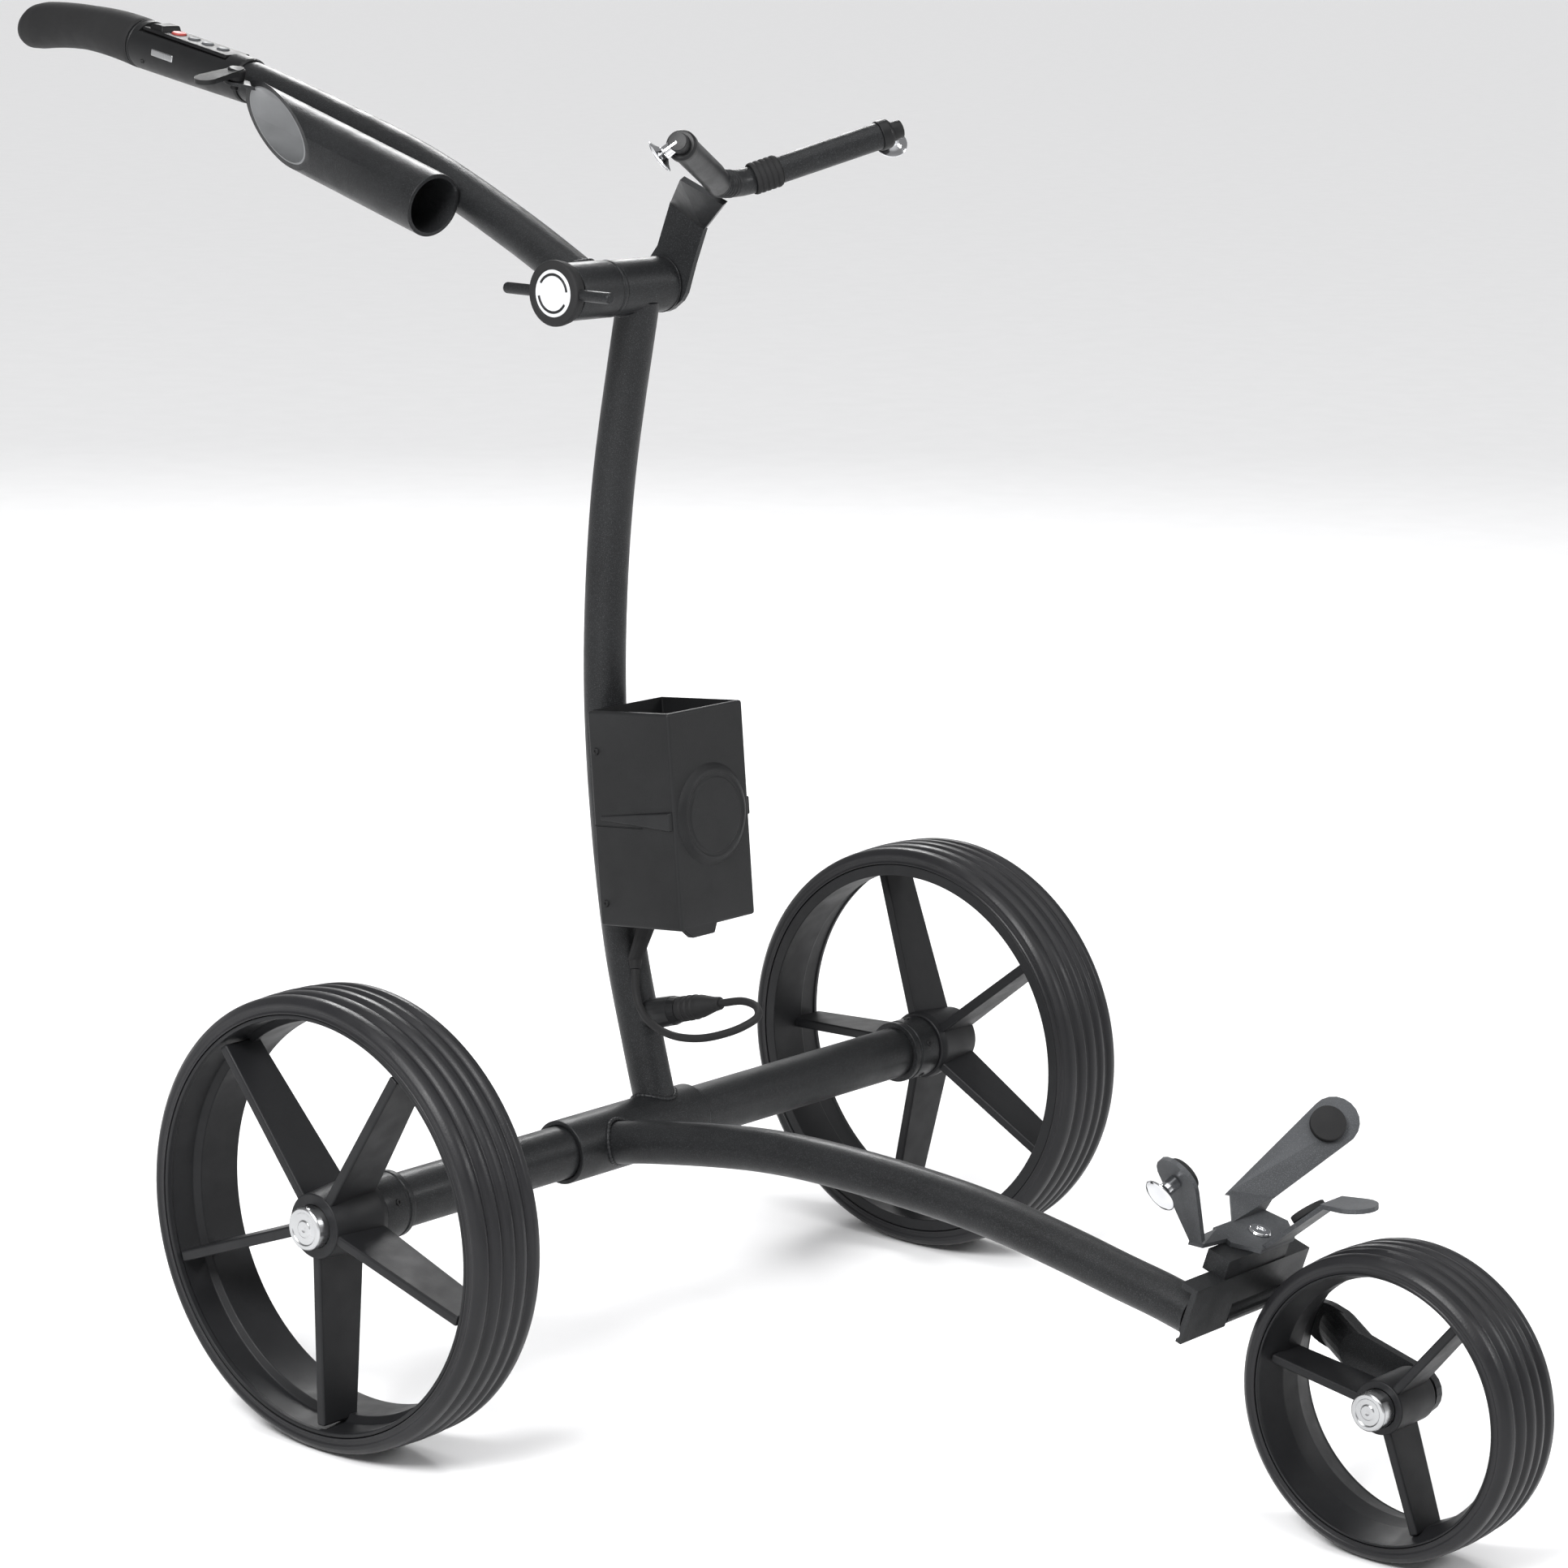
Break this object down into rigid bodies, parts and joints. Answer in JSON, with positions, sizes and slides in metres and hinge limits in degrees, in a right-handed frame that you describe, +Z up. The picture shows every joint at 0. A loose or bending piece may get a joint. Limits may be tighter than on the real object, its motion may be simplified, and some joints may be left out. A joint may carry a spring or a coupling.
{
  "type": "electric golf trolley",
  "caption": "Folding electric golf trolley with hub drive, curved mast, battery holder on the mast, keyed handle, umbrella tube, bag cradle and a small front wheel.",
  "frame": {"origin": "on the ground, under the middle of the trolley's length and width", "axes": "+Z up, -Y towards the front wheel, +Y towards the grip, -X on the side of the umbrella tube"},
  "size_m": [0.674, 1.357, 0.8875],
  "materials": {
    "frame_paint": "satin anthracite powder coat",
    "tyre": "ribbed soft tyre",
    "wheel_plastic": "moulded black plastic",
    "rubber": "soft-touch rubber",
    "black_plastic": "fine grain",
    "panel_gloss": "gloss black",
    "battery_case": "fine grain",
    "key_grey": "smooth",
    "key_red": "smooth",
    "chrome": "polished",
    "bright_aluminium": "turned and polished",
    "steel": "machined"
  },
  "bodies": {
    "chassis": {"axle_sleeve": "frame_paint", "axle_tube": "frame_paint", "axle_collar_left": "frame_paint", "axle_collar_right": "frame_paint", "gear_motor_left": "steel", "gear_motor_right": "steel", "wheel_bearing_left": "chrome", "wheel_bearing_right": "chrome", "mast_tube": "frame_paint", "boom_tube": "frame_paint", "front_bracket": "frame_paint", "fork_pin": "steel", "hinge_barrel_fixed": "frame_paint", "hinge_pin": "steel", "battery_box": "black_plastic", "charge_socket": "black_plastic", "cable_plug": "rubber", "cable_outlet": "rubber", "battery_cable": "rubber"},
    "handle": {"handle_tube": "frame_paint", "hinge_barrel_moving": "frame_paint", "control_housing": "black_plastic", "control_panel": "panel_gloss", "handle_grip": "rubber", "umbrella_holder": "frame_paint"},
    "hinge_clamp": {"clamp_knob": "rubber", "clamp_bar": "frame_paint"},
    "bag_bracket": {"bag_arm": "frame_paint", "vee_tube": "frame_paint", "vee_bellows": "rubber", "vee_cap_left": "black_plastic", "vee_cap_right": "black_plastic", "vee_stud_left": "chrome", "vee_stud_right": "chrome"},
    "battery": {"battery_pack": "battery_case"},
    "umbrella_lever": {"wing_screw": "black_plastic"},
    "power_key": {"power_button": "key_red"},
    "faster_key": {"faster_button": "key_grey"},
    "slower_key": {"slower_button": "key_grey"},
    "timer_key": {"timer_button": "key_grey"},
    "rear_wheel_left": {"rear_tyre_left": "tyre", "rear_rim_left": "wheel_plastic", "drive_shaft_left": "steel"},
    "rear_wheel_right": {"rear_tyre_right": "tyre", "rear_rim_right": "wheel_plastic", "drive_shaft_right": "steel"},
    "hub_key_left": {"wheel_button_left": "bright_aluminium"},
    "hub_key_right": {"wheel_button_right": "bright_aluminium"},
    "fork": {"front_fork": "frame_paint", "front_axle_bolt": "steel"},
    "front_wheel": {"front_tyre": "tyre", "front_rim": "wheel_plastic"},
    "front_hub_key": {"front_wheel_button": "bright_aluminium"},
    "bag_cradle": {"cradle": "frame_paint", "cradle_pad_left": "rubber", "cradle_pad_right": "rubber", "cradle_pad_front": "rubber", "cradle_stud_left": "chrome", "cradle_stud_right": "chrome", "cradle_screw": "chrome"}
  },
  "joints": [
    {"name": "handle_fold", "type": "hinge", "parent": "chassis", "child": "handle", "pos_m": [-0.049, 0.0506, 0.7227], "axis": [1, 0, 0], "range_deg": [-95, 15]},
    {"name": "hinge_clamp_turn", "type": "hinge", "parent": "handle", "child": "hinge_clamp", "pos_m": [-0.076, 0.0506, 0.7227], "axis": [1, 0, 0], "range_deg": [-180, 180]},
    {"name": "bag_bracket_fold", "type": "hinge", "parent": "chassis", "child": "bag_bracket", "pos_m": [0.027, 0.0506, 0.7227], "axis": [1, 0, 0], "range_deg": [0, 100]},
    {"name": "battery_lift", "type": "slide", "parent": "chassis", "child": "battery", "axis": [0, 0.1045, 0.9945], "range_m": [0, 0.06]},
    {"name": "umbrella_lever_turn", "type": "hinge", "parent": "handle", "child": "umbrella_lever", "pos_m": [-0.04094, 0.39398, 0.84625], "axis": [-0.0215, -0.2546, 0.9668], "range_deg": [-55, 55]},
    {"name": "power_press", "type": "slide", "parent": "handle", "child": "power_key", "axis": [0.0145, 0.1651, -0.9862], "range_m": [0, 0.001], "stiffness_N_per_m": 300},
    {"name": "faster_press", "type": "slide", "parent": "handle", "child": "faster_key", "axis": [0.0145, 0.1651, -0.9862], "range_m": [0, 0.001], "stiffness_N_per_m": 300},
    {"name": "slower_press", "type": "slide", "parent": "handle", "child": "slower_key", "axis": [0.0145, 0.1651, -0.9862], "range_m": [0, 0.001], "stiffness_N_per_m": 300},
    {"name": "timer_press", "type": "slide", "parent": "handle", "child": "timer_key", "axis": [0.0145, 0.1651, -0.9862], "range_m": [0, 0.001], "stiffness_N_per_m": 300},
    {"name": "rear_wheel_left_spin", "type": "hinge", "parent": "chassis", "child": "rear_wheel_left", "pos_m": [-0.302, 0.0196, 0.15], "axis": [1, 0, 0], "continuous": true},
    {"name": "hub_key_left_press", "type": "slide", "parent": "rear_wheel_left", "child": "hub_key_left", "axis": [1, 0, 0], "range_m": [0, 0.003], "stiffness_N_per_m": 600},
    {"name": "rear_wheel_right_spin", "type": "hinge", "parent": "chassis", "child": "rear_wheel_right", "pos_m": [0.302, 0.0196, 0.15], "axis": [1, 0, 0], "continuous": true},
    {"name": "hub_key_right_press", "type": "slide", "parent": "rear_wheel_right", "child": "hub_key_right", "axis": [-1, 0, 0], "range_m": [0, 0.003], "stiffness_N_per_m": 600},
    {"name": "fork_fold", "type": "hinge", "parent": "chassis", "child": "fork", "pos_m": [0, -0.46877, 0.13141], "axis": [1, 0, 0], "range_deg": [0, 100]},
    {"name": "front_wheel_spin", "type": "hinge", "parent": "fork", "child": "front_wheel", "pos_m": [0, -0.5817, 0.0968], "axis": [1, 0, 0], "continuous": true},
    {"name": "front_hub_key_press", "type": "slide", "parent": "front_wheel", "child": "front_hub_key", "axis": [1, 0, 0], "range_m": [0, 0.003], "stiffness_N_per_m": 600},
    {"name": "cradle_swivel", "type": "hinge", "parent": "chassis", "child": "bag_cradle", "pos_m": [0, -0.47675, 0.17901], "axis": [0, -0.3007, 0.9537], "range_deg": [-35, 35]}
  ]
}
